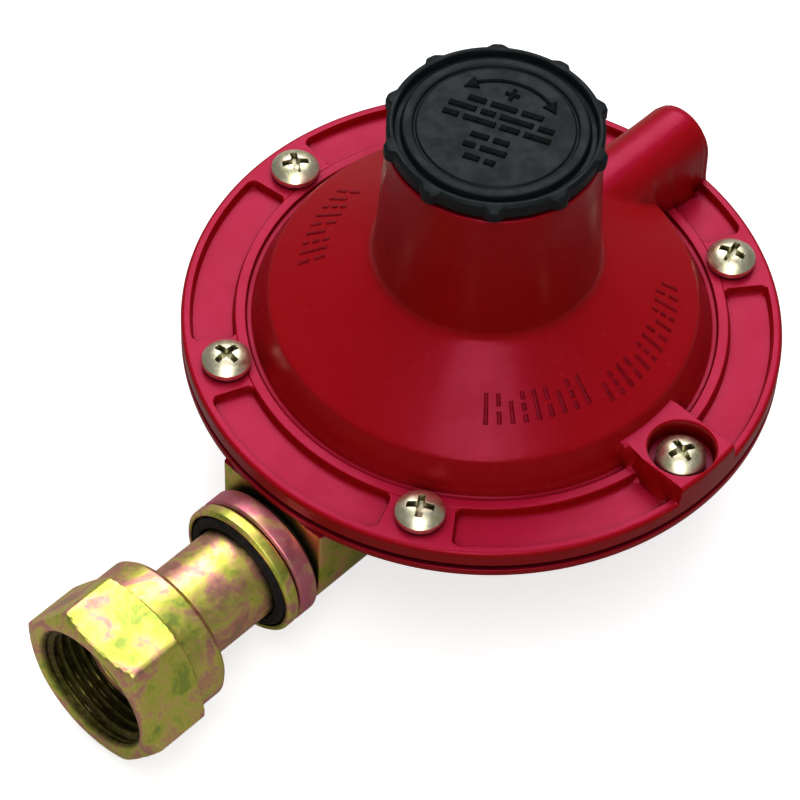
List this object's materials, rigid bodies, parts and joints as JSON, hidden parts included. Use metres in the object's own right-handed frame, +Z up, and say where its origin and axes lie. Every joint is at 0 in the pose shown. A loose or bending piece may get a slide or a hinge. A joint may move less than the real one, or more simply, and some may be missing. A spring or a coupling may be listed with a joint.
{
  "type": "carbon dioxide regulator",
  "caption": "Round red diaphragm gas regulator with flanged cover, spring tower under a lobed black cap, breather spout and a plated union nut inlet.",
  "frame": {"origin": "centre of the flat underside of the lower body, on the axis of the round casting and of the spring tower", "axes": "+Z up along the tower axis, -X out of the inlet and its union nut, +X out of the breather spout and the outlet"},
  "size_m": [0.1405, 0.1, 0.0797],
  "materials": {
    "red_enamel": "glossy enamel over a die casting",
    "black_plastic": "moulded, fine satin texture",
    "black_rubber": "matt nitrile rubber",
    "zinc_yellow": "yellow chromate over turned steel, with green and pink tints",
    "screw_zinc": "pale yellow zinc plate",
    "steel": "zinc plated steel, dull",
    "spring_steel": "drawn wire, oiled",
    "brass": "turned brass",
    "aluminium": "pressed sheet",
    "white_nylon": "moulded nylon",
    "bronze_sinter": "sintered grains"
  },
  "bodies": {
    "casing": {"upper_cover": "red_enamel", "lower_body": "red_enamel", "diaphragm": "black_rubber", "lever_bracket": "steel", "bracket_screw_1": "steel", "bracket_screw_2": "steel", "lever_pin": "steel", "inlet_nozzle": "brass", "adapter_gasket": "black_rubber", "inlet_adapter": "zinc_yellow", "gland_ring": "zinc_yellow", "stem_seal_ring": "black_rubber", "inlet_tailpiece": "zinc_yellow", "inlet_filter": "bronze_sinter", "nose_washer": "white_nylon", "vent_screen": "steel", "vent_ring": "black_plastic", "main_spring": "spring_steel", "cover_screw_1": "screw_zinc", "cover_screw_2": "screw_zinc", "cover_screw_3": "screw_zinc", "cover_screw_4": "screw_zinc", "cover_screw_5": "screw_zinc", "cover_screw_6": "screw_zinc"},
    "union_nut": {"union_nut": "zinc_yellow"},
    "cap_lift": {"cap_seal": "black_rubber"},
    "tower_cap": {"tower_cap": "black_plastic"},
    "spring_seat": {"spring_seat_top": "steel"},
    "adjusting_screw": {"adjusting_screw": "brass"},
    "diaphragm_stack": {"diaphragm_plate_top": "aluminium", "diaphragm_plate_bottom": "aluminium", "diaphragm_stem": "brass", "stem_nut": "steel"},
    "valve_lever": {"valve_lever": "steel"},
    "valve_plunger": {"valve_plunger": "brass", "valve_pad": "black_rubber"}
  },
  "joints": [
    {"name": "union_nut_spin", "type": "hinge", "parent": "casing", "child": "union_nut", "pos_m": [-0.081, 0, 0.016], "axis": [-1, 0, 0], "continuous": true},
    {"name": "cap_rise", "type": "slide", "parent": "casing", "child": "cap_lift", "axis": [0, 0, 1], "range_m": [0, 0.006]},
    {"name": "cap_turn", "type": "hinge", "parent": "cap_lift", "child": "tower_cap", "pos_m": [0, 0, 0.077], "axis": [0, 0, 1], "range_deg": [0, 1441]},
    {"name": "spring_seat_travel", "type": "slide", "parent": "casing", "child": "spring_seat", "axis": [0, 0, -1], "range_m": [0, 0.006], "deforming": ["main_spring"]},
    {"name": "adjusting_screw_turn", "type": "hinge", "parent": "spring_seat", "child": "adjusting_screw", "pos_m": [0, 0, 0.065], "axis": [0, 0, -1], "range_deg": [0, 1441]},
    {"name": "diaphragm_travel", "type": "slide", "parent": "casing", "child": "diaphragm_stack", "axis": [0, 0, 1], "range_m": [0, 0.0024], "deforming": ["diaphragm"]},
    {"name": "lever_swing", "type": "hinge", "parent": "casing", "child": "valve_lever", "pos_m": [0.013, 0, 0.0225], "axis": [0, 1, 0], "range_deg": [0, 10.6]},
    {"name": "plunger_travel", "type": "slide", "parent": "casing", "child": "valve_plunger", "axis": [-1, 0, 0], "range_m": [0, 0.00121]}
  ],
  "couplings": [
    {"joint": "cap_turn", "follows": "cap_rise", "rad_per_m": 4188.8},
    {"joint": "adjusting_screw_turn", "follows": "spring_seat_travel", "rad_per_m": 4188.8},
    {"joint": "lever_swing", "follows": "diaphragm_travel", "rad_per_m": 76.923},
    {"joint": "plunger_travel", "follows": "diaphragm_travel", "ratio": 0.5}
  ]
}
